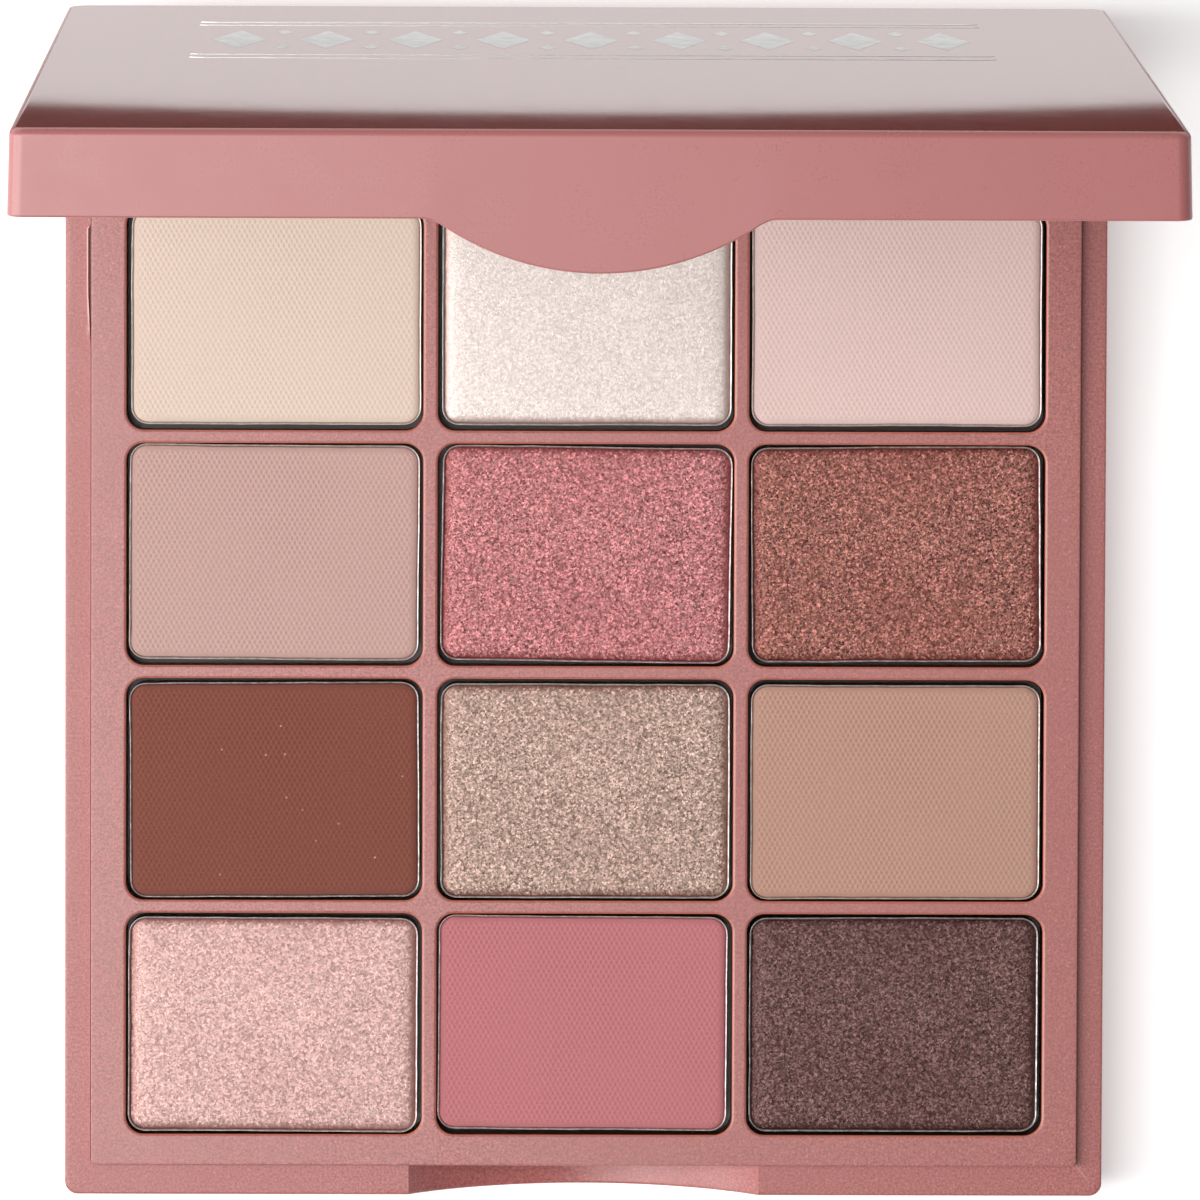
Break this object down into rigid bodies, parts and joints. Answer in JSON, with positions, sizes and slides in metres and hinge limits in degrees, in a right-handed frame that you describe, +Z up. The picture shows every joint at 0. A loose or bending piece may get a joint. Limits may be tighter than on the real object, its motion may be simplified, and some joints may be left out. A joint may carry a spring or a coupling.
{
  "type": "eyeshadow palette",
  "caption": "Flat square makeup palette with rows of pressed powder pans in a raised deck, under a hinged, mirrored lid with a thumb tab.",
  "frame": {"origin": "centre of the base's flat underside", "axes": "+X to the right as the user holds it open, +Y from the front edge towards the hinge, +Z up out of the pans"},
  "size_m": [0.104, 0.1189, 0.1187],
  "materials": {
    "rose_plastic": "satin",
    "deck_plastic": "satin",
    "tin_plate": "satin",
    "hinge_steel": "satin",
    "mirror_glass": "polished",
    "tape": "matte",
    "glue": "satin",
    "label_paper": "matte",
    "powder_cream": "matte",
    "powder_pearl": "satin",
    "powder_pale_pink": "matte",
    "powder_mauve_beige": "matte",
    "powder_rose_shimmer": "satin",
    "powder_copper_brown": "satin",
    "powder_brick_brown": "matte",
    "powder_taupe_gold": "satin",
    "powder_tan": "matte",
    "powder_rose_gold": "satin",
    "powder_pink": "matte",
    "powder_plum_brown": "satin"
  },
  "bodies": {
    "base": {"base_shell": "rose_plastic", "deck_tray": "deck_plastic", "pan_row1_left": "tin_plate", "pan_row1_middle": "tin_plate", "pan_row1_right": "tin_plate", "pan_row2_left": "tin_plate", "pan_row2_middle": "tin_plate", "pan_row2_right": "tin_plate", "pan_row3_left": "tin_plate", "pan_row3_middle": "tin_plate", "pan_row3_right": "tin_plate", "pan_row4_left": "tin_plate", "pan_row4_middle": "tin_plate", "pan_row4_right": "tin_plate", "powder_row1_left": "powder_cream", "powder_row1_middle": "powder_pearl", "powder_row1_right": "powder_pale_pink", "powder_row2_left": "powder_mauve_beige", "powder_row2_middle": "powder_rose_shimmer", "powder_row2_right": "powder_copper_brown", "powder_row3_left": "powder_brick_brown", "powder_row3_middle": "powder_taupe_gold", "powder_row3_right": "powder_tan", "powder_row4_left": "powder_rose_gold", "powder_row4_middle": "powder_pink", "powder_row4_right": "powder_plum_brown", "pan_glue": "glue", "hinge_pin_left": "hinge_steel", "hinge_pin_right": "hinge_steel", "base_label": "label_paper"},
    "lid": {"lid_shell": "rose_plastic", "lid_mirror": "mirror_glass", "mirror_tape": "tape"}
  },
  "joints": [
    {"name": "lid_hinge", "type": "hinge", "parent": "base", "child": "lid", "pos_m": [0, 0.05415, 0.008], "axis": [-1, 0, 0], "range_deg": [-83.7, 34]}
  ]
}
